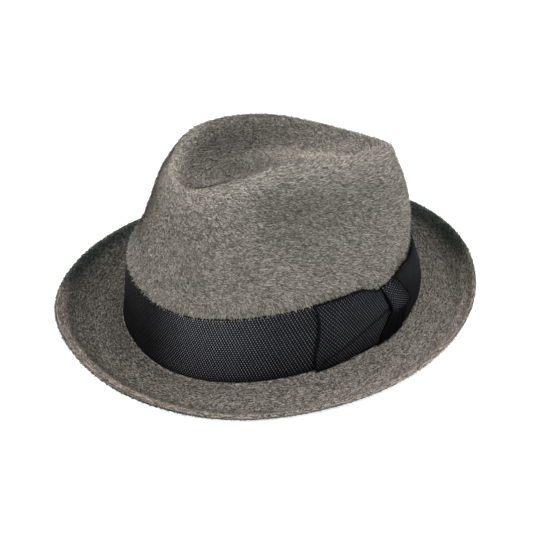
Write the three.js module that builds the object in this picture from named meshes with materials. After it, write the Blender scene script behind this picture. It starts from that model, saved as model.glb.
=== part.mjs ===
// A felt fedora: teardrop crown, curled raw-edge brim, wide woven ribbon with a flat bow.
// Millimetres. The hat rests on z = 0, its front points along -Y, the wearer's left is +X.
import * as THREE from 'three';

// Felt and ribbon
const FELT_THICKNESS = 2.0;
const RIBBON_GAP = 0.3;
const RIBBON_THICKNESS = 1.0;
const FLAT_BELOW = 0.45;      // felt whose underside comes this near the table lies flat on it

// How finely the faceted solids are cut
const AROUND = 64;

// One row for each section of the outer felt surface, from the brim's edge up over the crest and
// down into the crease. centre is the oval's middle along Y. front, back and side are its reaches.
// square is the superellipse exponent. taper narrows the back. zFront, zSide and zBack are heights,
// and pinch is how far the two finger dents press the wall in. fall makes the drop to the back
// straighter, and steps is the number of facets up to the next section.
const SECTIONS = [
  { name: 'edge', centre: 0, front: 145.2, back: 145.2, side: 122.9, square: 2.05, taper: 0,
    zFront: 19.4, zSide: 12.5, zBack: 19.3, pinch: 0, fall: 0, steps: 1 },
  { name: 'curl', centre: 0, front: 140.6, back: 140.6, side: 118.8, square: 2.05, taper: 0,
    zFront: 13.1, zSide: 7.4, zBack: 11.4, pinch: 0, fall: 0, steps: 2 },
  { name: 'gutter', centre: 0, front: 132.6, back: 132.6, side: 111.8, square: 2.06, taper: 0,
    zFront: 6, zSide: 3.6, zBack: 4.1, pinch: 0, fall: 0, steps: 1 },
  { name: 'table', centre: 0, front: 125.5, back: 125.5, side: 105.6, square: 2.08, taper: 0,
    zFront: 2, zSide: 2.2, zBack: 2.2, pinch: 0, fall: 0, steps: 1 },
  { name: 'slope', centre: 0.5, front: 116, back: 115, side: 97.5, square: 2.12, taper: 0,
    zFront: 2, zSide: 4.4, zBack: 3.4, pinch: 0, fall: 0, steps: 1 },
  { name: 'break', centre: 1.5, front: 105.5, back: 102.5, side: 89.5, square: 2.16, taper: 0,
    zFront: 2.6, zSide: 7.2, zBack: 5.2, pinch: 0, fall: 0, steps: 1 },
  { name: 'fillet', centre: 2, front: 100.9, back: 97.4, side: 85.2, square: 2.2, taper: 0,
    zFront: 4.4, zSide: 9.8, zBack: 7.6, pinch: 0, fall: 0, steps: 1 },
  { name: 'wall_foot', centre: 2, front: 99.7, back: 96.2, side: 84, square: 2.2, taper: 0,
    zFront: 10.5, zSide: 16.5, zBack: 14, pinch: 0, fall: 0, steps: 2 },
  { name: 'ribbon_top', centre: 2, front: 96.3, back: 93, side: 78.2, square: 2.2, taper: 0,
    zFront: 49.3, zSide: 57.4, zBack: 53.3, pinch: 0, fall: 0, steps: 1 },
  { name: 'above', centre: 2, front: 87.3, back: 93.5, side: 75.5, square: 2.2, taper: 0,
    zFront: 63, zSide: 72, zBack: 67, pinch: 0, fall: 0, steps: 2 },
  { name: 'waist', centre: 0, front: 79.3, back: 95.5, side: 71, square: 2.2, taper: 0,
    zFront: 78.5, zSide: 88, zBack: 79, pinch: 1.2, fall: 0, steps: 2 },
  { name: 'upper', centre: -5, front: 70, back: 100, side: 63, square: 2.15, taper: 0.05,
    zFront: 93.5, zSide: 104.5, zBack: 90.5, pinch: 4, fall: 0, steps: 2 },
  { name: 'shoulder', centre: -13, front: 59.5, back: 106.5, side: 51, square: 2.03, taper: 0.18,
    zFront: 108, zSide: 120, zBack: 97.5, pinch: 4.5, fall: 0.3, steps: 2 },
  { name: 'roll', centre: -18, front: 50, back: 110.5, side: 42.5, square: 1.94, taper: 0.26,
    zFront: 117, zSide: 130.8, zBack: 102, pinch: 2.5, fall: 0.4, steps: 1 },
  { name: 'crest', centre: -21.4, front: 44, back: 111, side: 35.2, square: 1.9, taper: 0.31,
    zFront: 122, zSide: 136.2, zBack: 104.6, pinch: 1, fall: 0.5, steps: 1 },
  { name: 'lip', centre: -22.5, front: 38.5, back: 104.5, side: 29, square: 1.9, taper: 0.36,
    zFront: 120.2, zSide: 133.6, zBack: 103.6, pinch: 0.3, fall: 0.5, steps: 2 },
  { name: 'bowl', centre: -20, front: 33, back: 92, side: 22.5, square: 2, taper: 0.4,
    zFront: 114.8, zSide: 125, zBack: 101.8, pinch: 0, fall: 0.5, steps: 2 },
  { name: 'floor', centre: -17, front: 24.5, back: 76, side: 13.5, square: 2, taper: 0.42,
    zFront: 112.8, zSide: 119.6, zBack: 102.8, pinch: 0, fall: 0.4, steps: 1 },
  { name: 'crease', centre: -14, front: 16, back: 60, side: 4, square: 2, taper: 0.42,
    zFront: 113, zSide: 117, zBack: 105.6, pinch: 0, fall: 0.3, steps: 1 },
];
const DENT_CENTRE_Y = -16;
const DENT_REACH = 30;
const END_ROUNDING = 0.03;    // keeps the narrow back end of a tapered oval round

// The three pieces of the ribbon's flat bow, at the wearer's left, towards the back.
// Angles run round the crown in degrees, 0 at the front and 90 at the wearer's left. Heights are
// shares of the ribbon's width. The wrap's two edges are bent at bendAt and lean towards the front
// above and below it, in degrees for a whole width. dip is how far the bow drags the ribbon's upper
// edge down. A wing's lower edge falls to lowAtFold between the shares fallsFrom and fallsTo of it.
const BOW = {
  bendAt: 0.45,
  lowAtWrap: 0.1,
  slit: 0.5,
  fallsFrom: 0.3,
  fallsTo: 0.8,
  dip: { depth: 0.17, middle: 115.6, reach: 9.8, power: 3.2 },
  wrapFront: { angle: 118.3, above: 15, below: 24 },
  wrapBack: { angle: 131.5, above: 24, below: 17 },
  wrap: { swell: 3.2, swellsFrom: 0.29, swellsTo: 0.57, sideDrop: 0.5 },
  frontWing: { foldAt: 84.5, lowAtFold: 0.03, highAtFold: 1, swell: 2.4 },
  rearWing: { foldAt: 163, lowAtFold: 0.03, highAtFold: 0.9, swell: 4.4 },
};
const BOW_ROWS_EACH_SIDE = 3;   // rows of facets below the bend, and as many above it
const WING_THICKNESS = 1.6;

const FELT_GREY = 0x7b766f;
const RIBBON_BLACK = 0x2b2c30;

function signedPower(value, power) {
  return Math.sign(value) * Math.abs(value) ** power;
}

// A point of one section's oval at an angle in radians
function sectionPoint(row, angle) {
  const c = Math.cos(angle);
  const s = Math.sin(angle);
  const towardsFront = Math.cos(angle / 2) ** 2;
  const narrowing = (2 * (towardsFront + END_ROUNDING)) ** (row.taper / 2);
  const reach = c > 0 ? row.front : row.back;
  const y = row.centre - reach * signedPower(c, 2 / row.square);
  const dent = row.pinch * Math.exp(-(((y - DENT_CENTRE_Y) / DENT_REACH) ** 2));
  const wide = row.side * signedPower(s, 2 / row.square) * narrowing;
  const x = wide - Math.sign(wide) * dent * Math.min(1, 2 * Math.abs(s));
  const towardsEnd = c * c * (c > 0 ? 1 : 1 + row.fall * (1 - c * c));
  const zEnd = c > 0 ? row.zFront : row.zBack;
  return new THREE.Vector3(x, y, row.zSide + (zEnd - row.zSide) * towardsEnd);
}

// The outer felt surface: u counts sections, with a smooth curve through all of them
function feltPoint(u, angle) {
  const last = SECTIONS.length - 1;
  const k = Math.min(Math.floor(u), last - 1);
  const t = u - k;
  const at = (i) => sectionPoint(SECTIONS[i], angle);
  const p1 = at(k);
  const p2 = at(k + 1);
  const p0 = k > 0 ? at(k - 1) : p1.clone().multiplyScalar(2).sub(p2);
  const p3 = k + 2 <= last ? at(k + 2) : p2.clone().multiplyScalar(2).sub(p1);
  const blend = (a, b, c, d) => 0.5 * (2 * b + (c - a) * t + (2 * a - 5 * b + 4 * c - d) * t * t
    + (3 * b - a - 3 * c + d) * t ** 3);
  return new THREE.Vector3(
    blend(p0.x, p1.x, p2.x, p3.x),
    blend(p0.y, p1.y, p2.y, p3.y),
    blend(p0.z, p1.z, p2.z, p3.z),
  );
}

function feltNormal(u, angle) {
  const du = 0.02;
  const da = 0.01;
  const last = SECTIONS.length - 1;
  const low = Math.max(0, u - du);
  const high = Math.min(last, u + du);
  const up = feltPoint(high, angle).sub(feltPoint(low, angle));
  const round = feltPoint(u, angle + da).sub(feltPoint(u, angle - da));
  return round.cross(up).normalize();
}

// Named section to its place along u
function sectionAt(name) {
  return SECTIONS.findIndex((row) => row.name === name);
}

function ringLevels() {
  const levels = [];
  for (let k = 0; k < SECTIONS.length - 1; k += 1) {
    for (let i = 0; i < SECTIONS[k].steps; i += 1) {
      levels.push(k + i / SECTIONS[k].steps);
    }
  }
  levels.push(SECTIONS.length - 1);
  return levels;
}

// A closed mesh under construction: corner points and triangles
class Shell {
  constructor() {
    this.corners = [];
    this.triangles = [];
  }

  add(point) {
    this.corners.push(point.x, point.y, point.z);
    return this.corners.length / 3 - 1;
  }

  quad(a, b, c, d) {
    this.triangles.push(a, b, c, a, c, d);
  }

  geometry() {
    const geometry = new THREE.BufferGeometry();
    geometry.setAttribute('position', new THREE.Float32BufferAttribute(this.corners, 3));
    geometry.setIndex(this.triangles);
    geometry.computeVertexNormals();
    return geometry;
  }
}

// Crown and brim in one piece of felt, hollow below, as it is blocked from one hood
function feltGeometry() {
  const shell = new Shell();
  const levels = ringLevels();
  const outer = [];
  const inner = [];
  for (const u of levels) {
    const outerRing = [];
    const innerRing = [];
    for (let i = 0; i < AROUND; i += 1) {
      const angle = (2 * Math.PI * i) / AROUND;
      const point = feltPoint(u, angle);
      const under = point.clone().addScaledVector(feltNormal(u, angle), -FELT_THICKNESS);
      under.z = under.z < FLAT_BELOW ? 0 : under.z;
      outerRing.push(shell.add(point));
      innerRing.push(shell.add(under));
    }
    outer.push(outerRing);
    inner.push(innerRing);
  }
  const next = (i) => (i + 1) % AROUND;
  for (let k = 0; k < levels.length - 1; k += 1) {
    for (let i = 0; i < AROUND; i += 1) {
      shell.quad(outer[k][i], outer[k][next(i)], outer[k + 1][next(i)], outer[k + 1][i]);
      shell.quad(inner[k][i], inner[k + 1][i], inner[k + 1][next(i)], inner[k][next(i)]);
    }
  }
  for (let i = 0; i < AROUND; i += 1) {
    shell.quad(outer[0][i], inner[0][i], inner[0][next(i)], outer[0][next(i)]);
  }
  // The crease's floor closes the last ring, by strips from one long side to the other
  const top = outer[levels.length - 1];
  const below = inner[levels.length - 1];
  const half = AROUND / 2;
  for (let i = 0; i < half; i += 1) {
    const a = i;
    const b = i + 1;
    const c = (AROUND - b) % AROUND;
    const d = (AROUND - a) % AROUND;
    if (i === 0) {
      shell.triangles.push(top[a], top[b], top[c]);
      shell.triangles.push(below[a], below[c], below[b]);
    } else if (i === half - 1) {
      shell.triangles.push(top[a], top[b], top[d]);
      shell.triangles.push(below[a], below[d], below[b]);
    } else {
      shell.quad(top[a], top[b], top[c], top[d]);
      shell.quad(below[a], below[d], below[c], below[b]);
    }
  }
  return shell.geometry();
}

// The facets of the wall that the ribbon lies on, from its lower edge, v = 0, to its upper, v = 1
const WALL_LEVELS = [
  { v: 0, u: sectionAt('fillet') },
  { v: 0.15, u: sectionAt('wall_foot') },
  { v: 0.575, u: (sectionAt('wall_foot') + sectionAt('ribbon_top')) / 2 },
  { v: 1, u: sectionAt('ribbon_top') },
];

// A point at a distance outside those facets
function wallPoint(v, angle, outwards) {
  const spans = WALL_LEVELS.length - 1;
  const k = Math.min(spans - 1, WALL_LEVELS.findLastIndex((level) => level.v <= v));
  const share = (v - WALL_LEVELS[k].v) / (WALL_LEVELS[k + 1].v - WALL_LEVELS[k].v);
  const at = (u) => {
    const normal = feltNormal(u, angle).setZ(0).normalize();
    return feltPoint(u, angle).addScaledVector(normal, outwards);
  };
  return at(WALL_LEVELS[k].u).lerp(at(WALL_LEVELS[k + 1].u), share);
}

// A closed sleeve or pad that follows the wall. place gives each grid point its angle and v,
// and how far outside the felt its two faces lie there.
function wallPad(columns, rows, closedRound, place) {
  const shell = new Shell();
  const near = [];
  const far = [];
  for (let i = 0; i < columns; i += 1) {
    near.push([]);
    far.push([]);
    for (let j = 0; j < rows; j += 1) {
      const spot = place(i, j);
      near[i].push(shell.add(wallPoint(spot.v, spot.angle, spot.inside)));
      far[i].push(shell.add(wallPoint(spot.v, spot.angle, spot.outside)));
    }
  }
  const spans = closedRound ? columns : columns - 1;
  const top = rows - 1;
  for (let i = 0; i < spans; i += 1) {
    const n = (i + 1) % columns;
    for (let j = 0; j < top; j += 1) {
      shell.quad(far[i][j], far[n][j], far[n][j + 1], far[i][j + 1]);
      shell.quad(near[i][j], near[i][j + 1], near[n][j + 1], near[n][j]);
    }
    shell.quad(far[i][0], near[i][0], near[n][0], far[n][0]);
    shell.quad(far[i][top], far[n][top], near[n][top], near[i][top]);
  }
  if (!closedRound) {
    const end = columns - 1;
    for (let j = 0; j < top; j += 1) {
      shell.quad(near[0][j], far[0][j], far[0][j + 1], near[0][j + 1]);
      shell.quad(far[end][j], near[end][j], near[end][j + 1], far[end][j + 1]);
    }
  }
  return shell.geometry();
}

// How far the bow drags the ribbon's upper edge down at an angle in degrees
function ribbonDip(degrees) {
  const away = Math.abs(degrees - BOW.dip.middle) / BOW.dip.reach;
  return BOW.dip.depth * Math.exp(-(away ** BOW.dip.power));
}

function ribbonGeometry() {
  const top = WALL_LEVELS.length - 1;
  return wallPad(AROUND, WALL_LEVELS.length, true, (i, j) => ({
    angle: (2 * Math.PI * i) / AROUND,
    v: WALL_LEVELS[j].v - (j === top ? ribbonDip((360 * i) / AROUND) : 0),
    inside: RIBBON_GAP,
    outside: RIBBON_GAP + RIBBON_THICKNESS,
  }));
}

// Everything on the ribbon starts one gap outside it
const ON_RIBBON = RIBBON_GAP + RIBBON_THICKNESS + RIBBON_GAP;

// The angle in degrees of one of the wrap's edges at a height
function wrapEdge(edge, height) {
  const lean = height > BOW.bendAt ? edge.above : edge.below;
  return edge.angle - lean * Math.abs(height - BOW.bendAt);
}

// The height of one row of a bow piece's grid, from low to high with its middle row at the bend
function bowHeight(low, high, row) {
  const share = row / BOW_ROWS_EACH_SIDE;
  return share <= 1
    ? low + (BOW.bendAt - low) * share
    : BOW.bendAt + (high - BOW.bendAt) * (share - 1);
}

// Where a bow piece's column meets the ribbon's dragged upper edge
function bowTop(undragged, angleAt) {
  const nearly = undragged - ribbonDip(angleAt(undragged - BOW.dip.depth));
  return undragged - ribbonDip(angleAt(nearly));
}

// A folded wing of the bow, fullest at its middle, from its end beside the wrap to its fold.
// direction is -1 for the wing that runs to the front and 1 for the one that runs to the back.
function wingGeometry(wing, direction) {
  const columns = 9;
  const rows = 2 * BOW_ROWS_EACH_SIDE + 1;
  const besideWrap = direction > 0 ? BOW.wrapBack : BOW.wrapFront;
  return wallPad(columns, rows, false, (i, j) => {
    const along = direction > 0 ? i / (columns - 1) : 1 - i / (columns - 1);
    const angleAt = (height) => {
      const start = wrapEdge(besideWrap, height) + direction * BOW.slit;
      return start + (wing.foldAt - start) * along;
    };
    const fallen = THREE.MathUtils.smoothstep(along, BOW.fallsFrom, BOW.fallsTo);
    const low = BOW.lowAtWrap + (wing.lowAtFold - BOW.lowAtWrap) * fallen;
    const high = bowTop(1 + (wing.highAtFold - 1) * along, angleAt);
    const height = bowHeight(low, high, j);
    const share = j / (rows - 1);
    const swell = wing.swell * Math.sin(Math.PI * along) * 4 * share * (1 - share);
    return {
      angle: THREE.MathUtils.degToRad(angleAt(height)),
      v: height,
      inside: ON_RIBBON,
      outside: ON_RIBBON + WING_THICKNESS + swell,
    };
  });
}

// The short band that wraps the bow's middle. It bulges over the wings' ends above the bend and
// lies flat below it.
function wrapGeometry() {
  const columns = 5;
  const rows = 2 * BOW_ROWS_EACH_SIDE + 1;
  return wallPad(columns, rows, false, (i, j) => {
    const across = i / (columns - 1);
    const angleAt = (height) => THREE.MathUtils.lerp(
      wrapEdge(BOW.wrapFront, height),
      wrapEdge(BOW.wrapBack, height),
      across,
    );
    const height = bowHeight(BOW.lowAtWrap, bowTop(1, angleAt), j);
    const full = THREE.MathUtils.smoothstep(height, BOW.wrap.swellsFrom, BOW.wrap.swellsTo);
    const arch = 1 - BOW.wrap.sideDrop * (2 * across - 1) ** 2;
    return {
      angle: THREE.MathUtils.degToRad(angleAt(height)),
      v: height,
      inside: ON_RIBBON,
      outside: ON_RIBBON + WING_THICKNESS + BOW.wrap.swell * full * arch,
    };
  });
}

function piece(name, geometry, colour, roughness) {
  const material = new THREE.MeshStandardMaterial({ color: colour, roughness, metalness: 0 });
  const mesh = new THREE.Mesh(geometry, material);
  mesh.name = name;
  return mesh;
}

const hat = new THREE.Group();
hat.add(piece('felt_body', feltGeometry(), FELT_GREY, 0.95));
hat.add(piece('ribbon_band', ribbonGeometry(), RIBBON_BLACK, 0.7));
hat.add(piece('bow_front_wing', wingGeometry(BOW.frontWing, -1), RIBBON_BLACK, 0.7));
hat.add(piece('bow_rear_wing', wingGeometry(BOW.rearWing, 1), RIBBON_BLACK, 0.7));
hat.add(piece('bow_centre_wrap', wrapGeometry(), RIBBON_BLACK, 0.7));

export default hat;
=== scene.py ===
"""A soft grey felt fedora: teardrop crown, curled raw-edge brim, dark woven ribbon, flat bow."""
import math

import bpy
import numpy as np
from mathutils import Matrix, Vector


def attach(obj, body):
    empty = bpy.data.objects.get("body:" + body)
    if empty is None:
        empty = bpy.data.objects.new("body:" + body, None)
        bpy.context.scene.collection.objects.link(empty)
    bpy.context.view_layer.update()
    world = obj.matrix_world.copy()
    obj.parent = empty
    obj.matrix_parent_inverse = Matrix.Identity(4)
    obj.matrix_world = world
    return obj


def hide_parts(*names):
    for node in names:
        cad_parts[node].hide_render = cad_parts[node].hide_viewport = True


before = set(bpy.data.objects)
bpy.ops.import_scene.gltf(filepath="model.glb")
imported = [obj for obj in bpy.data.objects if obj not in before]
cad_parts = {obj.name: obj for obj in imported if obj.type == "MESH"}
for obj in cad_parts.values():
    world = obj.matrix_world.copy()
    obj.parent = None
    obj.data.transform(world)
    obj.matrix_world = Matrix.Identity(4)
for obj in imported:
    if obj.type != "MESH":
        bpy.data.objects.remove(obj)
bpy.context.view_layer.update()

# The eye. It looks down on the hat's left side from a little towards the front, about a metre
# away, so that the front points left and the bow sits at the right.
EYE_TURN = math.radians(62.15)
EYE_RISE = math.radians(38.0)
EYE_DISTANCE = 1.133
EYE_LENS = 111.1
AIM_RIGHT = -0.0012
AIM_UP = 0.0264
towards_eye = Vector((
    math.sin(EYE_TURN) * math.cos(EYE_RISE),
    -math.cos(EYE_TURN) * math.cos(EYE_RISE),
    math.sin(EYE_RISE),
))
eye_right = Vector((math.cos(EYE_TURN), math.sin(EYE_TURN), 0.0))
eye_up = towards_eye.cross(eye_right)
aim = eye_right * AIM_RIGHT + eye_up * AIM_UP
eye = bpy.data.objects.new("eye", bpy.data.cameras.new("eye"))
eye.data.lens = EYE_LENS
eye.data.clip_start = 0.05
eye.location = towards_eye * EYE_DISTANCE
eye.rotation_euler = (aim - eye.location).to_track_quat("-Z", "Y").to_euler()
bpy.context.scene.collection.objects.link(eye)
bpy.context.scene.camera = eye

# The studio: a table of lit white glass, a broad soft light high at the eye's right, two weaker
# ones low at its left, and pale walls all round, which the world stands for.
TABLE_REACH = 40.0
TABLE_WHITE = 0.9
TABLE_GLOW = 0.85
WALL_LIGHT = 0.3
bpy.context.scene.view_settings.view_transform = "Standard"
world = bpy.data.worlds.new("white_walls")
world.use_nodes = True
world.node_tree.nodes["Background"].inputs["Color"].default_value = (1.0, 1.0, 1.0, 1.0)
world.node_tree.nodes["Background"].inputs["Strength"].default_value = WALL_LIGHT
bpy.context.scene.world = world
LIGHTS = {
    "light_right": ((0.608, 0.382, 1.541), 1.1, 18.4),
    "light_left": ((0.411, -1.330, 0.975), 1.1, 9.6),
    "light_far_left": ((-0.650, -1.231, 0.975), 1.1, 6.8),
}
for name, (place, width, power) in LIGHTS.items():
    light = bpy.data.objects.new(name, bpy.data.lights.new(name, "AREA"))
    light.data.shape = "DISK"
    light.data.size = width
    light.data.energy = power
    light.location = place
    light.rotation_euler = (-light.location).to_track_quat("-Z", "Y").to_euler()
    bpy.context.scene.collection.objects.link(light)
table_mesh = bpy.data.meshes.new("table")
table_mesh.from_pydata(
    [(x * TABLE_REACH, y * TABLE_REACH, 0.0) for x, y in ((-1, -1), (1, -1), (1, 1), (-1, 1))],
    [],
    [(0, 1, 2, 3)],
)
table = bpy.data.objects.new("table", table_mesh)
bpy.context.scene.collection.objects.link(table)
table_paint = bpy.data.materials.new("table_paint")
table_paint.use_nodes = True
paint = table_paint.node_tree.nodes["Principled BSDF"].inputs
paint["Base Color"].default_value = (TABLE_WHITE, TABLE_WHITE, TABLE_WHITE, 1.0)
paint["Roughness"].default_value = 0.9
paint["Emission Color"].default_value = (1.0, 1.0, 1.0, 1.0)
paint["Emission Strength"].default_value = TABLE_GLOW
table.data.materials.append(table_paint)

# The felt body: crown and brim are one piece of soft hair felt, steamed over a block. Its rows are
# ovals from the brim's cut edge in to the crown, up over the crest and down into the crease.
MM = 0.001
FELT_THICKNESS = 2.0 * MM
EDGE_ROUNDING = 0.45 * MM
CROWN_RADIUS = 90 * MM
TURNS_AROUND = 288
ROWS_PER_SECTION = 8
UNDER_ROWS_PER_SECTION = 4
EDGE_ROWS = 4
SECTION_FIELDS = ("centre", "front", "back", "side", "square", "taper",
                  "z_front", "z_side", "z_back", "pinch", "fall")
SECTIONS = {
    "edge": (0, 145.2, 145.2, 122.9, 2.05, 0, 19.4, 12.5, 19.3, 0, 0),
    "curl": (0, 140.6, 140.6, 118.8, 2.05, 0, 13.1, 7.4, 11.4, 0, 0),
    "gutter": (0, 132.6, 132.6, 111.8, 2.06, 0, 6, 3.6, 4.1, 0, 0),
    "table": (0, 125.5, 125.5, 105.6, 2.08, 0, 2, 2.2, 2.2, 0, 0),
    "slope": (0.5, 116, 115, 97.5, 2.12, 0, 2, 4.4, 3.4, 0, 0),
    "break": (1.5, 105.5, 102.5, 89.5, 2.16, 0, 2.6, 7.2, 5.2, 0, 0),
    "fillet": (2, 100.9, 97.4, 85.2, 2.2, 0, 4.4, 9.8, 7.6, 0, 0),
    "wall_foot": (2, 99.7, 96.2, 84, 2.2, 0, 10.5, 16.5, 14, 0, 0),
    "ribbon_top": (2, 96.3, 93, 78.2, 2.2, 0, 49.3, 57.4, 53.3, 0, 0),
    "above": (2, 87.3, 93.5, 75.5, 2.2, 0, 63, 72, 67, 0, 0),
    "waist": (0, 79.3, 95.5, 71, 2.2, 0, 78.5, 88, 79, 1.2, 0),
    "upper": (-5, 70, 100, 63, 2.15, 0.05, 93.5, 104.5, 90.5, 4, 0),
    "shoulder": (-13, 59.5, 106.5, 51, 2.03, 0.18, 108, 120, 97.5, 4.5, 0.3),
    "roll": (-18, 50, 110.5, 42.5, 1.94, 0.26, 117, 130.8, 102, 2.5, 0.4),
    "crest": (-21.4, 44, 111, 35.2, 1.9, 0.31, 122, 136.2, 104.6, 1, 0.5),
    "lip": (-22.5, 38.5, 104.5, 29, 1.9, 0.36, 120.2, 133.6, 103.6, 0.3, 0.5),
    "bowl": (-20, 33, 92, 22.5, 2, 0.4, 114.8, 125, 101.8, 0, 0.5),
    "floor": (-17, 24.5, 76, 13.5, 2, 0.42, 112.8, 119.6, 102.8, 0, 0.4),
    "crease": (-14, 16, 60, 4, 2, 0.42, 113, 117, 105.6, 0, 0.3),
}
DENT_CENTRE_Y = -16
DENT_REACH = 30
END_ROUNDING = 0.03
WALL_FOOT_SHARE = 0.15
BOW_DIP = {"depth": 0.17, "middle": 115.6, "reach": 9.8, "power": 3.2}
SECTION_TABLE = np.array(list(SECTIONS.values()), float)
LAST_SECTION = len(SECTIONS) - 1
level_of = {name: float(i) for i, name in enumerate(SECTIONS)}


def section_oval(index, turn):
    """Points of the numbered sections at these turns, in millimetres."""
    f = dict(zip(SECTION_FIELDS, np.moveaxis(SECTION_TABLE[index], -1, 0)))
    c = np.cos(turn)
    s = np.sin(turn)
    narrowing = (2 * (np.cos(turn / 2) ** 2 + END_ROUNDING)) ** (f["taper"] / 2)
    reach = np.where(c > 0, f["front"], f["back"])
    y = f["centre"] - reach * np.sign(c) * np.abs(c) ** (2 / f["square"])
    dent = f["pinch"] * np.exp(-(((y - DENT_CENTRE_Y) / DENT_REACH) ** 2))
    wide = f["side"] * np.sign(s) * np.abs(s) ** (2 / f["square"]) * narrowing
    x = wide - np.sign(wide) * dent * np.minimum(1, 2 * np.abs(s))
    towards_end = c * c * np.where(c > 0, 1, 1 + f["fall"] * (1 - c * c))
    z_end = np.where(c > 0, f["z_front"], f["z_back"])
    z = f["z_side"] + (z_end - f["z_side"]) * towards_end
    return np.stack([x, y, z], -1)


def felt_at(level, turn):
    """The smooth outer face of the felt, where level counts sections from the brim's edge."""
    level, turn = np.broadcast_arrays(np.asarray(level, float), np.asarray(turn, float))
    k = np.clip(np.floor(level).astype(int), 0, LAST_SECTION - 1)
    t = (level - k)[..., None]
    p1 = section_oval(k, turn)
    p2 = section_oval(k + 1, turn)
    p0 = np.where((k > 0)[..., None], section_oval(np.maximum(k - 1, 0), turn), 2 * p1 - p2)
    beyond = section_oval(np.minimum(k + 2, LAST_SECTION), turn)
    p3 = np.where((k + 2 <= LAST_SECTION)[..., None], beyond, 2 * p2 - p1)
    curve = (2 * p1 + (p2 - p0) * t + (2 * p0 - 5 * p1 + 4 * p2 - p3) * t * t
             + (3 * p1 - p0 - 3 * p2 + p3) * t ** 3)
    return 0.5 * curve * MM


def felt_directions(level, turn):
    """Unit vectors out of the felt, round it towards the wearer's left, and up the rows."""
    d = 0.01
    level = np.asarray(level, float)
    up = felt_at(np.minimum(level + d, LAST_SECTION), turn) - felt_at(np.maximum(level - d, 0), turn)
    around = felt_at(level, turn + d) - felt_at(level, turn - d)
    out = np.cross(around, up)
    return [v / np.maximum(np.linalg.norm(v, axis=-1, keepdims=True), 1e-12)
            for v in (out, around, up)]


def bump_near(value, centre, reach):
    return np.exp(-(((value - centre) / reach) ** 2))


def smooth_step(value, low, high):
    t = np.clip((value - low) / (high - low), 0, 1)
    return t * t * (3 - 2 * t)


def bow_dip(turn):
    """How far the bow drags the ribbon's upper edge down, as a share of the ribbon's width."""
    away = np.abs((np.degrees(turn) - BOW_DIP["middle"]) / BOW_DIP["reach"])
    return BOW_DIP["depth"] * np.exp(-(away ** BOW_DIP["power"]))


def hand_shaping(level, turn):
    """How far the felt lies off its block, in metres: the slight waves of steamed felt."""
    brim = bump_near(level, 0.0, 1.6)
    crown = np.clip((level - level_of["ribbon_top"]) / 2, 0, 1)
    crown = crown * np.clip((LAST_SECTION - level) / 3, 0, 1)
    waves = 0.35 * brim * np.sin(5 * turn + 0.6) + 0.25 * brim * np.sin(9 * turn + 2.0)
    waves = waves + 0.35 * crown * np.sin(4 * turn + 1.1 * level)
    waves = waves + 0.25 * crown * np.sin(7 * turn - 1.7 * level + 1.0)
    return waves * MM


def shaped_felt(level, turn):
    out = felt_directions(level, turn)[0]
    return felt_at(level, turn) + out * hand_shaping(level, turn)[..., None]


def solid_from(name, points, faces):
    mesh = bpy.data.meshes.new(name)
    mesh.from_pydata(points.tolist(), [], faces)
    mesh.validate()
    mesh.shade_smooth()
    piece = bpy.data.objects.new(name, mesh)
    bpy.context.scene.collection.objects.link(piece)
    return piece


turns = np.linspace(0, 2 * math.pi, TURNS_AROUND, endpoint=False)
outer_levels = np.linspace(0, LAST_SECTION, LAST_SECTION * ROWS_PER_SECTION + 1)
under_levels = np.linspace(0, LAST_SECTION, LAST_SECTION * UNDER_ROWS_PER_SECTION + 1)
outer_grid = np.meshgrid(outer_levels, turns, indexing="ij")
under_grid = np.meshgrid(under_levels, turns, indexing="ij")
outer = shaped_felt(*outer_grid)
under = shaped_felt(*under_grid) - felt_directions(*under_grid)[0] * FELT_THICKNESS
under[..., 2] = np.maximum(under[..., 2], 0.0)

# The cut edge, slightly rounded
outwards = -felt_directions(*outer_grid)[2][0]
edge = []
for i in range(1, EDGE_ROWS):
    share = i / EDGE_ROWS
    round_off = math.sin(math.pi * share) * EDGE_ROUNDING
    edge.append(outer[0] * (1 - share) + under[0] * share + outwards * round_off)
rings = np.concatenate([outer[::-1], np.array(edge), under])
ring_levels = np.concatenate([outer_levels[::-1], np.zeros(EDGE_ROWS - 1), under_levels])
n_rings = len(rings)
felt_faces = []
for k in range(n_rings - 1):
    for i in range(TURNS_AROUND):
        n = (i + 1) % TURNS_AROUND
        a, b = k * TURNS_AROUND, (k + 1) * TURNS_AROUND
        felt_faces.append((a + i, b + i, b + n, a + n))
half = TURNS_AROUND // 2
for start, outside in ((0, True), ((n_rings - 1) * TURNS_AROUND, False)):
    for i in range(half):
        ring = [i, i + 1, (TURNS_AROUND - i - 1) % TURNS_AROUND, (TURNS_AROUND - i) % TURNS_AROUND]
        ring = [start + r for r in dict.fromkeys(ring)]
        felt_faces.append(tuple(ring if outside else ring[::-1]))
felt = solid_from("felt_body_soft", rings.reshape(-1, 3), felt_faces)

# What the nap and the colour, with its painted light and shade, follow: the level, the way the nap is
# brushed, and how dark it lies
all_levels = np.repeat(ring_levels[:, None], TURNS_AROUND, 1)
all_turns = np.repeat(turns[None, :], n_rings, 0)
round_way, up_way = felt_directions(all_levels, all_turns)[1:]
sweep = np.radians(14 + 16 * np.sin(2.3 * all_turns + 0.9 * all_levels)
                   + 12 * np.sin(5.1 * all_turns - 1.3 * all_levels)
                   + 58 * bump_near(all_levels, 8.1, 0.45))
brushed = round_way * np.cos(sweep)[..., None] - up_way * np.sin(sweep)[..., None]
on_top = np.zeros(n_rings)
on_top[:len(outer_levels)] = 1.0
is_top = np.repeat(on_top[:, None], TURNS_AROUND, 1)
is_under = 1 - is_top
degrees_round = np.degrees(all_turns)


def turn_near(centre, reach):
    """1 at a turn given in degrees, falling off on both sides of it."""
    away = (degrees_round - centre + 180) % 360 - 180
    return np.exp(-((away / reach) ** 2))
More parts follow.
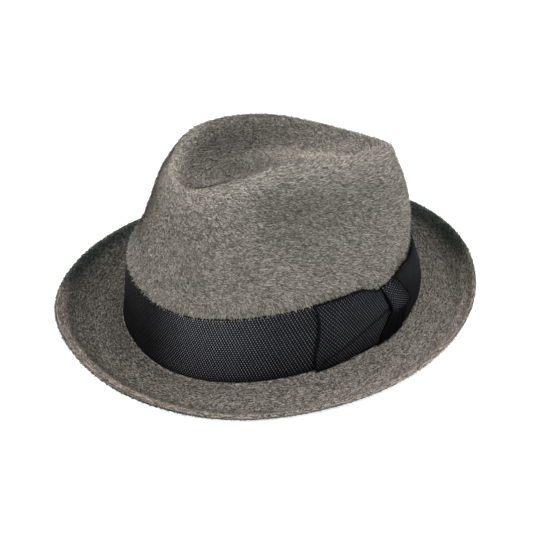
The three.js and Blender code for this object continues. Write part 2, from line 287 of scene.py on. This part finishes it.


# The felt's tone, most of it painted light and shade: a lighter top roll and crease floor (painted
# light), a darker far wall in the crease (painted shade), a slightly darker brim, and a brim that is
# light towards the bow and dark at the front right and beside the crown (painted light and shade).
# It is green and darker in the far curl, the dent and under the curl (the felt's green undertone and
# painted shade), and lighter and pinkish at the edges (painted highlight). A patch is how much
# lighter the felt is painted, and the level and turn of its middle with their reaches.
PATCH_FIELDS = ("lighter", "level", "level_reach", "turn", "turn_reach")
PAINTED_LIGHT_PATCHES = {
    "crease_wall_back_right": (-0.18, 14.8, 0.9, 253, 22),
    "lip_front_right": (0.9, 14.9, 0.9, 340, 34),
    "bowl_front": (0.7, 16.3, 1.2, 12, 20),
    "lip_above_bow": (0.25, 15.0, 1.2, 145, 42),
    "wall_front": (0.5, 10.8, 2.2, 348, 20),
    "wall_before_dent": (-0.14, 12.4, 1.3, 72, 20),
    "brim_front_at_ribbon": (-0.25, 5.1, 1.3, 8, 44),
}
PAINTED_LIGHT_PATCHES_ON_TOP = {
    "curl_below_bow": (0.38, 2.0, 0.6, 118, 52),
    "curl_front_right": (0.4, 2.1, 0.5, 346, 14),
}
brim_share = np.clip(level_of["fillet"] - all_levels + 0.5, 0, 1)
outer_brim = smooth_step(all_levels, 4.5, 2.5)
left_dent = bump_near(all_levels, 11.6, 1.3) * turn_near(91, 25)
top_roll = bump_near(all_levels, 13.2, 1.2)
crease_share = smooth_step(all_levels, 14.6, 16.0)
crease_floor = smooth_step(all_levels, 16.4, 17.4)
far_side = smooth_step(degrees_round, 158, 176) * smooth_step(degrees_round, 334, 318)
far_curl = smooth_step(all_levels, 1.5, 0.9) * far_side
far_edge = smooth_step(all_levels, 0.6, 0.1) * far_side * is_top
by_crown = bump_near(all_levels, 2.1, 0.7) * turn_near(283, 15)
# The near edge is painted lighter and pinker along the curl: a painted highlight
band_end = 0.95 + 1.55 * turn_near(32, 36) + 0.55 * turn_near(135, 40)
near_edge = smooth_step(all_levels, band_end + 0.3, band_end - 0.3) * (1 - far_side) * is_top
curl_under = is_under * smooth_step(all_levels, 0.0, 0.5)
inner_ring = is_top * bump_near(all_levels, band_end + 0.5, 0.35)
# Painted light and shade, multiplied into the felt's tone
tone_and_painted_light = 1 - 0.11 * brim_share - 0.2 * left_dent + 0.34 * top_roll
tone_and_painted_light *= 1 - 0.48 * crease_share * turn_near(280, 50)
tone_and_painted_light *= 1 + 0.6 * crease_share * turn_near(205, 48)
tone_and_painted_light *= 1 + 0.85 * crease_floor * turn_near(234, 46)
tone_and_painted_light *= 1 + 0.3 * outer_brim * turn_near(100, 50)
tone_and_painted_light *= 1 - 0.26 * outer_brim * turn_near(330, 34)
tone_and_painted_light *= 1 - 0.12 * outer_brim * turn_near(172, 30)
tone_and_painted_light *= (1 - 0.28 * far_curl) * (1 + 0.5 * far_edge)
tone_and_painted_light *= (1 - 0.62 * by_crown) * (1 - 0.55 * curl_under) * (1 - 0.05 * inner_ring)
tone_and_painted_light *= 1 + (0.5 + 1.25 * turn_near(12, 42)) * near_edge
for patches, faces in ((PAINTED_LIGHT_PATCHES, 1), (PAINTED_LIGHT_PATCHES_ON_TOP, is_top)):
    for figures in patches.values():
        patch = dict(zip(PATCH_FIELDS, figures))
        shape = bump_near(all_levels, patch["level"], patch["level_reach"])
        shape = shape * turn_near(patch["turn"], patch["turn_reach"])
        tone_and_painted_light *= 1 + patch["lighter"] * shape * faces

# Where the hairs are planted: the level on top, lifted beside the bow as the ribbon's edge dips
# there, and a negative one under the felt
edge_drop = bow_dip(all_turns) / (1 - WALL_FOOT_SHARE)
planting_level = all_levels + edge_drop * bump_near(all_levels, level_of["ribbon_top"], 0.9)
felt_marks = {
    "level": planting_level * is_top - (1 + all_levels) * is_under,
    "tone_and_painted_light": tone_and_painted_light,
    "brim": brim_share,
    # Greener and darker in the dent, far curl, inner ring, under the curl and beside the crown: partly the
    # felt's green undertone, partly painted shade
    "green": np.clip(0.4 * left_dent + 1.2 * far_curl + 0.25 * inner_ring + 1.2 * curl_under
                     + 0.6 * by_crown, 0, 1.4),
    "pink_rim_light": near_edge,
    "rim": np.clip(near_edge + far_curl, 0, 1),
}
for name, values in felt_marks.items():
    felt.data.attributes.new(name, "FLOAT", "POINT").data.foreach_set("value", values.ravel())
felt.data.attributes.new("brushed", "FLOAT_VECTOR", "POINT").data.foreach_set(
    "vector", brushed.reshape(-1))
felt_uv = felt.data.uv_layers.new(name="cloth_grain")
length_up = np.concatenate([[0], np.cumsum(
    np.linalg.norm(np.diff(rings[:, TURNS_AROUND // 4], axis=0), axis=-1))])
corner_vertex = np.zeros(len(felt.data.loops), int)
felt.data.loops.foreach_get("vertex_index", corner_vertex)
corner_turn = turns[corner_vertex % TURNS_AROUND]
first_corner = np.zeros(len(felt.data.polygons), int)
felt.data.polygons.foreach_get("loop_start", first_corner)
corner_total = np.zeros(len(felt.data.polygons), int)
felt.data.polygons.foreach_get("loop_total", corner_total)
face_of_corner = np.repeat(np.arange(len(first_corner)), corner_total)
widest = np.maximum.reduceat(corner_turn, first_corner)[face_of_corner]
corner_turn = np.where(widest - corner_turn > math.pi, corner_turn + 2 * math.pi, corner_turn)
grain = np.stack([corner_turn * CROWN_RADIUS, length_up[corner_vertex // TURNS_AROUND]], -1)
felt_uv.data.foreach_set("uv", grain.ravel())


class Dye:
    """A value that varies over the cloth. Sums, products and powers of it add Math nodes."""

    def __init__(self, cloth, socket):
        self.cloth = cloth
        self.socket = socket

    def math(self, operation, *values):
        return self.cloth.node("ShaderNodeMath", {"operation": operation}, list(values))

    def __add__(self, other):
        return self.math("ADD", self, other)

    def __sub__(self, other):
        return self.math("SUBTRACT", self, other)

    def __rsub__(self, other):
        return self.math("SUBTRACT", other, self)

    def __mul__(self, other):
        return self.math("MULTIPLY", self, other)

    def __pow__(self, other):
        return self.math("POWER", self, other)

    __radd__ = __add__
    __rmul__ = __mul__

    def cosine(self):
        return self.math("COSINE", self)

    def between(self, low, high):
        """0 below low, 1 above high and smooth between."""
        return self.cloth.node(
            "ShaderNodeMapRange",
            {"interpolation_type": "SMOOTHSTEP"},
            {"Value": self, "From Min": low, "From Max": high},
        )


class Cloth:
    """A material in the making."""

    def __init__(self, name):
        self.material = bpy.data.materials.new(name)
        self.material.use_nodes = True
        self.tree = self.material.node_tree
        self.tree.nodes.clear()

    def node(self, kind, settings, values, result=0):
        made = self.tree.nodes.new(kind)
        for key, value in settings.items():
            setattr(made, key, value)
        pairs = values.items() if isinstance(values, dict) else enumerate(values)
        for key, value in pairs:
            if isinstance(value, Dye):
                self.tree.links.new(value.socket, made.inputs[key])
            else:
                made.inputs[key].default_value = value
        return Dye(self, made.outputs[result])

    def mark(self, name):
        return self.node("ShaderNodeAttribute", {"attribute_name": name}, {}, "Fac")

    def mix(self, share, first, second):
        settings = {"data_type": "RGBA"}
        return self.node("ShaderNodeMix", settings, {0: share, 6: first, 7: second}, 2)

    def shaded(self, colour, value):
        """The colour times a value."""
        return self.node("ShaderNodeVectorMath", {"operation": "SCALE"}, {0: colour, "Scale": value})

    def speckle(self, place, scale, detail=2.0):
        return self.node("ShaderNodeTexNoise", {}, {"Vector": place, "Scale": scale, "Detail": detail})

    def finish(self, colour, height, depth, **fixed):
        surface = {"Base Color": colour, **{k.replace("_", " "): v for k, v in fixed.items()}}
        if height is not None:
            surface["Normal"] = self.node(
                "ShaderNodeBump", {}, {"Height": height, "Strength": 1.0, "Distance": depth})
        shader = self.node("ShaderNodeBsdfPrincipled", {}, surface)
        output = self.tree.nodes.new("ShaderNodeOutputMaterial")
        self.tree.links.new(shader.socket, output.inputs["Surface"])
        return self.material


def linear(red, green, blue):
    """A colour that was named in screen values from 0 to 255."""
    def channel(v):
        v = v / 255
        return v / 12.92 if v <= 0.04045 else ((v + 0.055) / 1.055) ** 2.4
    return (channel(red), channel(green), channel(blue), 1.0)


FELT_LIGHT = linear(187, 181, 171)
FELT_DARK = linear(82, 78, 72)
FELT_BRIM_LIGHT = linear(188, 180, 170)
FELT_BRIM_DARK = linear(56, 52, 47)
# Dark green for the folds: partly the felt's undertone, partly painted shade
FELT_GREEN_IN_SHADE = linear(64, 86, 74)
# Pink for the painted highlight along the brim's edge
FELT_PINK_RIM_LIGHT = linear(166, 150, 145)


def felt_colour_and_painted_light(cloth, strand):
    """The felt's colour: dark to light hairs, browner on the brim, greener and darker in folds (undertone and
    painted shade), pinker at the edge (painted highlight), times painted light and shade.
    """
    lightness = strand ** 1.6
    crown = cloth.mix(lightness, FELT_DARK, FELT_LIGHT)
    brim = cloth.mix(lightness, FELT_BRIM_DARK, FELT_BRIM_LIGHT)
    colour = cloth.mix(cloth.mark("brim"), crown, brim)
    colour = cloth.mix(cloth.mark("green") * 0.55, colour, FELT_GREEN_IN_SHADE)
    colour = cloth.mix(cloth.mark("pink_rim_light") * 0.15, colour, FELT_PINK_RIM_LIGHT)
    place = cloth.node("ShaderNodeTexCoord", {}, {}, "Object")
    locks = cloth.speckle(place, 260.0, 1.0) * 0.5 + 0.75
    specks = (cloth.speckle(place, 620.0, 1.0) - 0.5) * cloth.mark("rim") * 2.6 + 1.0
    return cloth.shaded(colour, cloth.mark("tone_and_painted_light") * locks * specks)


felt_cloth = Cloth("brushed_hair_felt")
place = felt_cloth.node("ShaderNodeTexCoord", {}, {}, "Object")
along_nap = felt_cloth.node("ShaderNodeUVMap", {"uv_map": "cloth_grain"}, {})
along_nap = felt_cloth.node("ShaderNodeMapping", {}, {"Vector": along_nap, "Scale": (0.22, 1, 1)})
streaks = felt_cloth.speckle(along_nap, 1400.0)
heather = felt_cloth.speckle(place, 900.0)
strand = (streaks * 0.55 + heather * 0.45).between(0.33, 0.67)
felt.data.materials.append(felt_cloth.finish(
    felt_colour_and_painted_light(felt_cloth, strand), streaks * 0.6 + heather * 0.4, 0.35 * MM,
    Roughness=0.95, Specular_IOR_Level=0.15))
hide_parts("felt_body")
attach(felt, "root")

# The nap: the felt's short hairs, brushed round the crown towards the back, and fringing the ribbon.
# They catch the light as fine streaks and blur every outline a little. Each hair is one thin leaf,
# some 240 thousand in all: under the brim, on it, along the ribbon, on the wall, roll and crease.
HAIR_LENGTH = 2.9 * MM
HAIR_WIDTH = 0.44 * MM
HAIR_STRAY = 0.5
NAP_FIELDS = ("low", "high", "density", "length", "lean", "seed")
NAP_AREAS = {
    "nap_under": (-2.6, -0.05, 1.6, 0.6, 13, 10),
    "nap_brim": (0.02, 5.6, 1.9, 0.75, 13, 11),
    "nap_over_ribbon": (8.0, 8.2, 6.0, 0.8, 38, 15),
    "nap_wall": (8.02, 10.6, 3.0, 1.0, 13, 12),
    "nap_shoulder": (10.6, 13.5, 3.0, 1.0, 13, 13),
    "nap_crease": (13.5, 19.0, 3.0, 0.85, 13, 14),
}


def nap_tree(material):
    """Geometry nodes that plant hairs on the felt between two levels."""
    tree = bpy.data.node_groups.new("plant_nap", "GeometryNodeTree")
    tree.interface.new_socket("Felt", in_out="INPUT", socket_type="NodeSocketGeometry")
    tree.interface.new_socket("Nap", in_out="OUTPUT", socket_type="NodeSocketGeometry")
    for name in ("From Level", "To Level", "Hairs per m2", "Length", "Width", "Lean", "Stray"):
        tree.interface.new_socket(name, in_out="INPUT", socket_type="NodeSocketFloat")
    tree.interface.new_socket("Seed", in_out="INPUT", socket_type="NodeSocketInt")

    def add(kind, settings=None, values=None):
        made = tree.nodes.new(kind)
        for key, value in (settings or {}).items():
            setattr(made, key, value)
        for key, value in (values or {}).items():
            if isinstance(value, bpy.types.NodeSocket):
                tree.links.new(value, made.inputs[key])
            else:
                made.inputs[key].default_value = value
        return made

    def figure(operation, first, second=0.0):
        return add("ShaderNodeMath", {"operation": operation}, {0: first, 1: second}).outputs[0]

    def arrow(operation, values, result=0):
        return add("ShaderNodeVectorMath", {"operation": operation}, values).outputs[result]

    given = add("NodeGroupInput").outputs
    level = add("GeometryNodeInputNamedAttribute", {"data_type": "FLOAT"}, {"Name": "level"}).outputs[0]
    within = figure("MULTIPLY", figure("GREATER_THAN", level, given["From Level"]),
                    figure("LESS_THAN", level, given["To Level"]))
    planted = add("GeometryNodeDistributePointsOnFaces", {"distribute_method": "RANDOM"}, {
        "Mesh": given["Felt"], "Selection": within,
        "Density": given["Hairs per m2"], "Seed": given["Seed"]})
    brushed_way = add("GeometryNodeInputNamedAttribute", {"data_type": "FLOAT_VECTOR"},
                      {"Name": "brushed"}).outputs[0]
    stray = add("FunctionNodeRandomValue", {"data_type": "FLOAT_VECTOR"}, {
        "Min": (-1, -1, -1), "Max": (1, 1, 1), "Seed": given["Seed"]}).outputs[0]
    lie = arrow("SCALE", {0: brushed_way, "Scale": figure("COSINE", given["Lean"])})
    stand = arrow("SCALE", {0: planted.outputs["Normal"], "Scale": figure("SINE", given["Lean"])})
    aside = arrow("SCALE", {0: stray, "Scale": given["Stray"]})
    way = arrow("ADD", {0: arrow("ADD", {0: lie, 1: stand}), 1: aside})
    laid = add("FunctionNodeAlignRotationToVector", {"axis": "X"}, {"Vector": way}).outputs[0]
    laid = add("FunctionNodeAlignRotationToVector", {"axis": "Z", "pivot_axis": "X"}, {
        "Rotation": laid, "Vector": planted.outputs["Normal"]}).outputs[0]
    leaf = add("GeometryNodeMeshCircle", {"fill_type": "NGON"}, {"Vertices": 4, "Radius": 1.0})
    spot = add("ShaderNodeSeparateXYZ", {}, {0: add("GeometryNodeInputPosition").outputs[0]}).outputs
    from_root = add("ShaderNodeCombineXYZ", {}, {
        0: figure("MULTIPLY", figure("ADD", spot[0], 1.0), 0.5),
        1: figure("MULTIPLY", spot[1], 0.5)}).outputs[0]
    leaf = add("GeometryNodeSetPosition", {}, {"Geometry": leaf.outputs[0], "Position": from_root})
    longer = add("FunctionNodeRandomValue", {"data_type": "FLOAT"}, {
        2: 0.6, 3: 1.35, "Seed": figure("ADD", given["Seed"], 1)}).outputs[1]
    size = add("ShaderNodeCombineXYZ", {}, {
        0: figure("MULTIPLY", given["Length"], longer), 1: given["Width"], 2: 1.0}).outputs[0]
    hairs = add("GeometryNodeInstanceOnPoints", {}, {
        "Points": planted.outputs["Points"], "Instance": leaf.outputs[0],
        "Rotation": laid, "Scale": size})
    shade = add("FunctionNodeRandomValue", {"data_type": "FLOAT"}, {
        2: 0.0, 3: 1.0, "Seed": figure("ADD", given["Seed"], 2)}).outputs[1]
    hairs = add("GeometryNodeStoreNamedAttribute", {"data_type": "FLOAT", "domain": "INSTANCE"}, {
        "Geometry": hairs.outputs[0], "Name": "strand", "Value": shade})
    hairs = add("GeometryNodeRealizeInstances", {}, {"Geometry": hairs.outputs[0]})
    hairs = add("GeometryNodeSetMaterial", {}, {"Geometry": hairs.outputs[0], "Material": material})
    add("NodeGroupOutput", {}, {"Nap": hairs.outputs[0]})
    return tree


nap_cloth = Cloth("felt_hair")
nap_material = nap_cloth.finish(
    felt_colour_and_painted_light(nap_cloth, nap_cloth.mark("strand")), None, 0, Roughness=0.85, Specular_IOR_Level=0.2)
nap_nodes = nap_tree(nap_material)
socket_of = {s.name: s.identifier for s in nap_nodes.interface.items_tree if s.in_out == "INPUT"}
for name, figures in NAP_AREAS.items():
    area = dict(zip(NAP_FIELDS, figures))
    planter = bpy.data.objects.new(name, felt.data)
    bpy.context.scene.collection.objects.link(planter)
    planting = planter.modifiers.new("plant_nap", "NODES")
    planting.node_group = nap_nodes
    chosen = {"From Level": area["low"], "To Level": area["high"],
              "Hairs per m2": area["density"] * 1e6, "Length": HAIR_LENGTH * area["length"],
              "Width": HAIR_WIDTH, "Lean": math.radians(area["lean"]), "Stray": HAIR_STRAY,
              "Seed": area["seed"]}
    for socket, value in chosen.items():
        planting[socket_of[socket]] = value
    bpy.context.view_layer.update()
    grown = planter.evaluated_get(bpy.context.evaluated_depsgraph_get())
    nap_mesh = bpy.data.meshes.new_from_object(grown)
    bpy.data.objects.remove(planter)
    nap_mesh.name = name
    nap = bpy.data.objects.new(name, nap_mesh)
    bpy.context.scene.collection.objects.link(nap)
    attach(nap, "root")

# The ribbon: one strip of dark woven ribbon about 48 mm wide, stretched round the crown's foot,
# with a plain selvedge along both edges. The bow drags its upper edge down about 8 mm beside it.
RIBBON_WIDTH = 48 * MM
RIBBON_RADIUS = 94 * MM
RIBBON_GAP = 0.3 * MM
RIBBON_THICKNESS = 1.0 * MM
RIBBON_COLUMNS = 400
RIBBON_ROWS = 36
wall_levels = ([0.0, WALL_FOOT_SHARE, 1.0],
               [level_of[n] for n in ("fillet", "wall_foot", "ribbon_top")])

# The way up the wall, in metres, at each share of the ribbon's width, which the weave keeps to
wall_shares = np.linspace(0, 1, 61)
way_up = felt_at(np.interp(wall_shares, *wall_levels), math.pi / 2)
climbed = np.concatenate([[0], np.cumsum(np.linalg.norm(np.diff(way_up, axis=0), axis=-1))])


def wall_at(share, turn, off):
    """A point off the felt wall, where share runs over the ribbon's width from its lower edge."""
    level = np.interp(share, *wall_levels)
    out = felt_directions(level, turn)[0]
    out[..., 2] = 0
    out = out / np.linalg.norm(out, axis=-1, keepdims=True)
    point = felt_at(level, turn) + out * np.asarray(off)[..., None]
    point[..., 2] += (np.minimum(share, 0) + np.maximum(share - 1, 0)) * RIBBON_WIDTH
    return point


def cloth_pad(name, share, turn, near, far, marks, closed_round):
    """A closed piece of cloth on the wall, from a grid of places and its two faces' distances."""
    columns, rows = share.shape
    points = np.concatenate([wall_at(share, turn, near).reshape(-1, 3),
                             wall_at(share, turn, far).reshape(-1, 3)])
    faces = []
    shift = columns * rows
    spans = columns if closed_round else columns - 1
    for i in range(spans):
        n = (i + 1) % columns
        for j in range(rows - 1):
            a, b, c, d = i * rows + j, n * rows + j, n * rows + j + 1, i * rows + j + 1
            faces.append((a, d, c, b))
            faces.append((shift + a, shift + b, shift + c, shift + d))
        low, low_next = i * rows, n * rows
        high, high_next = low + rows - 1, low_next + rows - 1
        faces.append((shift + low, low, low_next, shift + low_next))
        faces.append((shift + high, shift + high_next, high_next, high))
    if not closed_round:
        last = (columns - 1) * rows
        for j in range(rows - 1):
            faces.append((j, shift + j, shift + j + 1, j + 1))
            faces.append((shift + last + j, last + j, last + j + 1, shift + last + j + 1))
    piece = solid_from(name, points, faces)
    for mark, values in marks.items():
        both = np.concatenate([values.ravel(), values.ravel()])
        piece.data.attributes.new(mark, "FLOAT", "POINT").data.foreach_set("value", both)
    uv = piece.data.uv_layers.new(name="weave")
    corner = np.zeros(len(piece.data.loops), int)
    piece.data.loops.foreach_get("vertex_index", corner)
    corner = corner % shift
    across = turn.ravel()[corner]
    start = np.zeros(len(piece.data.polygons), int)
    piece.data.polygons.foreach_get("loop_start", start)
    most = np.repeat(np.maximum.reduceat(across, start), 4)
    across = np.where(most - across > math.pi, across + 2 * math.pi, across)
    places = [across * RIBBON_RADIUS, np.interp(share.ravel()[corner], wall_shares, climbed)]
    uv.data.foreach_set("uv", np.stack(places, -1).ravel())
    return piece


def edge_round(share, reach):
    """0 at both ends of share, rising like a rounded edge to 1 within reach of them."""
    inside = np.minimum(share, 1 - share)
    return np.sqrt(np.clip(1 - (1 - np.minimum(inside / reach, 1)) ** 2, 0, 1))


column = np.linspace(0, 2 * math.pi, RIBBON_COLUMNS, endpoint=False)
row = 0.5 - 0.5 * np.cos(math.pi * np.linspace(0, 1, RIBBON_ROWS))
turn, height = np.meshgrid(column, row, indexing="ij")
upper = 1 - bow_dip(turn) + 0.006 * np.sin(7 * turn + 1) + 0.004 * np.sin(17 * turn)
selvedge = bump_near(height, 0.02, 0.02) + bump_near(height, 0.98, 0.02)
looseness = 0.22 * MM * np.sin(math.pi * height) * (np.sin(6 * turn + 0.7) + np.sin(11 * turn))
far = RIBBON_GAP + RIBBON_THICKNESS * (0.35 + 0.5 * edge_round(height, 0.02) + 0.15 * selvedge)
near = np.full_like(far, RIBBON_GAP)
degrees = np.degrees(turn)
# Painted light and shade on the ribbon: lightest a little round from the front, half as light towards the bow
# and the back, dark at the very front, and darker along its lower edge where it meets the brim
painted_sheen = smooth_step(degrees, 8, 38) * (1 - 0.5 * smooth_step(degrees, 45, 76))
painted_sheen = painted_sheen * (1 - smooth_step(degrees, 190, 300))
ribbon_marks = {
    "to_edge": np.minimum(height, 1 - height) * RIBBON_WIDTH,
    "shade": (0.22 + 0.78 * painted_sheen) * (0.2 + 0.8 * smooth_step(height, 0.03, 0.17)),
}
ribbon = cloth_pad("ribbon_woven", height * upper, turn, near, far + looseness, ribbon_marks, True)


# The weave's two sets of ribs, in ribs for each millimetre round the ribbon and up it
RIBS_RISING = (0.52, -0.4)
RIBS_STEEP = (0.52, 0.22)
SELVEDGE = 0.9 * MM
RIBBON_DARK = linear(10, 11, 14)
RIBBON_LIGHT = linear(140, 142, 149)


def ribbon_cloth(name, weave_turn, fineness, painted_stitch_light):
    """Near-black ribbon with small light stitches where two sets of ribs cross, darkened by the painted shade
    in its shade mark and by the painted stitch light given for each piece.
    """
    cloth = Cloth(name)
    on_cloth = cloth.node("ShaderNodeUVMap", {"uv_map": "weave"}, {})
    on_cloth = cloth.node("ShaderNodeMapping", {}, {
        "Vector": on_cloth, "Rotation": (0, 0, math.radians(weave_turn)),
        "Scale": (fineness, fineness, 1)})
    across = cloth.node("ShaderNodeSeparateXYZ", {}, [on_cloth], "X")
    up = cloth.node("ShaderNodeSeparateXYZ", {}, [on_cloth], "Y")
    ribs = []
    for ribs_across, ribs_up in (RIBS_RISING, RIBS_STEEP):
        count = across * (ribs_across / MM) + up * (ribs_up / MM)
        rib = (count * (2 * math.pi)).cosine()
        every_other = (count * math.pi).cosine()
        ribs.append(rib * 0.5 + every_other * 0.06 + 0.5)
    stitch = (ribs[0] * ribs[1]).between(0.28, 0.95)
    place = cloth.node("ShaderNodeTexCoord", {}, {}, "Object")
    fibre = cloth.speckle(place, 1100.0, 1.0)
    wear = cloth.speckle(place, 60.0, 2.0)
    woven = cloth.mark("to_edge").between(SELVEDGE * 0.7, SELVEDGE * 1.3)
    # The shade mark and the stitch light paint light and shade into the colour
    shade = cloth.mark("shade")
    light = stitch * woven * (fibre * 1.3 + 0.35) * (wear * 0.8 + 0.6) * shade * painted_stitch_light
    colour = cloth.mix(light, RIBBON_DARK, RIBBON_LIGHT)
    colour = cloth.shaded(colour, shade * 0.75 + 0.25)
    return cloth.finish(colour, stitch * woven * 0.8 + fibre * 0.2, 0.22 * MM,
                        Roughness=0.85, Specular_IOR_Level=0.1)


ribbon.data.materials.append(ribbon_cloth("ribbon_weave", 0.0, 1.0, 1.35))
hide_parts("ribbon_band")
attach(ribbon, "root")

# The bow's wrap: a short length of the ribbon that goes round the bow's middle. It bulges over the
# ends of both wings, is bent back at BEND_AT and tucks under at the ribbon's lower edge, where its colour is
# painted dark as painted shade.
# Turns are in degrees, heights are shares of the ribbon's width, and the cloth is what shows of it.
ON_RIBBON = 2 * RIBBON_GAP + RIBBON_THICKNESS
WRAP_COLUMNS = 56
WRAP_ROWS = 72
WRAP_LOW = 0.03
WRAP_TOP = 1.02
WRAP_BULGE = 3.4
BEND_AT = 0.45
BEND_SOFTNESS = 0.4
WRAP_FRONT = {"turn": 118.3, "above": 15, "below": 24}
WRAP_BACK = {"turn": 131.5, "above": 24, "below": 17}


def wrap_edge(edge, share):
    """The turn, in degrees, where the wrap's front or back edge runs at a height."""
    slope = np.where(share > BEND_AT, edge["above"], edge["below"])
    return edge["turn"] + BEND_SOFTNESS - np.hypot(slope * (share - BEND_AT), BEND_SOFTNESS)


side, height = np.meshgrid(np.linspace(0, 1, WRAP_COLUMNS), np.linspace(0, 1, WRAP_ROWS), indexing="ij")

# The wrap's top follows the bow's dip, from a first guess of where it lies
wrap_top = 0.84
for settle in range(2):
    share = WRAP_LOW + (wrap_top - WRAP_LOW) * height
    degrees = wrap_edge(WRAP_FRONT, share) * (1 - side) + wrap_edge(WRAP_BACK, share) * side
    wrap_top = WRAP_TOP - bow_dip(np.radians(degrees))
crosswise = edge_round(side, 0.22)
bend_line = BEND_AT + 0.02 - 0.006 * (degrees - 118)
fullness = smooth_step(share, bend_line - 0.16, bend_line + 0.12) * smooth_step(height, 1.06, 0.8)
creases = 0.16 * np.sin(side * math.pi * 6 + 5 * height) * edge_round(side, 0.2)
bulge = WRAP_BULGE * fullness * (0.25 + 0.75 * crosswise)
off_ribbon = (0.9 + 0.7 * edge_round(height, 0.03) + bulge + creases) * MM
# The wrap's shade is painted shade: dark below the bend where it tucks under, and darker towards its back
# edge
wrap_marks = {
    "to_edge": np.minimum(side, 1 - side) * 30 * MM,
    "shade": smooth_step(share, bend_line - 0.09, bend_line + 0.05) * (1 - 0.55 * smooth_step(side, 0.45, 1)),
}
near = np.full_like(off_ribbon, ON_RIBBON)
wrap = cloth_pad("bow_wrap_folded", share, np.radians(degrees), near, ON_RIBBON + off_ribbon,
                 wrap_marks, False)
# Its stitches are painted dimmer than the ribbon's, as painted shade
wrap.data.materials.append(ribbon_cloth("bow_wrap_weave", -94.0, 1.05, 0.5))
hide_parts("bow_centre_wrap")
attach(wrap, "root")

# The bow's two wings: the same ribbon folded back on itself and laid flat, plump at the middle and
# gathered to a point where the wrap holds them. Each ends in a rounded fold. The cloth is the length
# in millimetres of the layer that shows; the layer under it is not made on its own.
WING_COLUMNS = 90
WING_ROWS = 72
WING_THICKNESS = 1.7
WING_LOW_AT_WRAP = 0.1
DEGREES_TO_WRAP = 0.4
MM_ROUND = RIBBON_RADIUS / MM * math.radians(1)
MM_UP = RIBBON_WIDTH / MM
# The light is how bright each wing's stitches are painted: the rear wing's are painted dark as painted shade
WINGS = {
    "bow_front_wing": {"fold": 84.6, "low_at_fold": -0.02, "top_at_fold": 1.01, "swell": 2.4,
                       "weave_turn": -6.0, "light": 0.44, "cloth": 57},
    "bow_rear_wing": {"fold": 163.0, "low_at_fold": -0.01, "top_at_fold": 0.9, "swell": 4.6,
                      "weave_turn": 6.0, "light": 0.18, "cloth": 50},
}
wing_row = 0.5 - 0.5 * np.cos(math.pi * np.linspace(0, 1, WING_ROWS))


for name, wing in WINGS.items():
    at_front = name == "bow_front_wing"
    along, height = np.meshgrid(np.linspace(0, 1, WING_COLUMNS), wing_row, indexing="ij")
    from_wrap = 1 - along if at_front else along
    away = -1 if at_front else 1
    falls = smooth_step(from_wrap, 0.3, 0.8)
    low = WING_LOW_AT_WRAP + (wing["low_at_fold"] - WING_LOW_AT_WRAP) * falls
    wrap_side = WRAP_FRONT if at_front else WRAP_BACK
    degrees = wrap_edge(wrap_side, WING_LOW_AT_WRAP + 0.75 * height)
    for settle in range(3):
        flat_top = 1.0 + (wing["top_at_fold"] - 1.0) * smooth_step(from_wrap, 0.0, 0.45)
        top = flat_top - bow_dip(np.radians(degrees))
        share = low + (top - low) * height
        beside_wrap = wrap_edge(wrap_side, share) + away * DEGREES_TO_WRAP
        fold = wing["fold"] + (1.1 * np.sin(2 * math.pi * (height - 0.45)) if at_front else 0)
        degrees = beside_wrap + (fold - beside_wrap) * from_wrap
    plump = np.sin(math.pi * from_wrap) ** 0.7 * np.sin(math.pi * height) ** 0.7
    round_from_bend = np.abs(degrees - wrap_side["turn"]) * MM_ROUND
    up_from_bend = (share - BEND_AT) * MM_UP
    reach = np.hypot(round_from_bend, up_from_bend)
    ray = np.arctan2(up_from_bend, round_from_bend)
    gathers = 0.35 * np.sin(ray * 9 + 0.8) * np.exp(-reach / 9)
    tuck = np.zeros_like(share)
    tuck_shadow = np.zeros_like(share)
    if at_front:
        crease_line = BEND_AT + 0.08 - 0.24 * (np.maximum(118 - degrees, 0) / 26) ** 2.4
        tucked = smooth_step(reach, 1, 4) * smooth_step(from_wrap, 1.0, 0.8)
        tuck = -1.1 * smooth_step(share, crease_line + 0.012, crease_line - 0.03) * tucked
        tuck_shadow = bump_near(share, crease_line - 0.015, 0.026) * tucked
    body = WING_THICKNESS * (0.3 + 0.7 * edge_round(from_wrap * 0.98 + 0.01, 0.03)
                             * edge_round(height, 0.04))
    body = body + (wing["swell"] * plump + gathers + tuck) * edge_round(height, 0.08)
    to_long_edge = np.minimum(height, 1 - height) * 45 * MM
    to_end = np.minimum(along, 1 - along) * 40 * MM
    # Painted shade in the wing's colour: darker where it gathers under the wrap, along its top and lower
    # edges, and in a line along the tuck's crease
    shade = 1 - 0.85 * np.exp(-reach / 3.0) - 0.2 * bump_near(height, 1.0, 0.12)
    shade = shade * (0.3 + 0.7 * smooth_step(share, 0.03, 0.17)) * (1 - 0.8 * tuck_shadow)
    wing_marks = {"to_edge": np.minimum(to_long_edge, to_end), "shade": shade}
    near = np.full_like(body, ON_RIBBON)
    piece = cloth_pad(name + "_folded", share, np.radians(degrees), near, ON_RIBBON + body * MM,
                      wing_marks, False)
    piece.data.materials.append(ribbon_cloth(name + "_weave", wing["weave_turn"], 1.15, wing["light"]))
    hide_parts(name)
    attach(piece, "root")
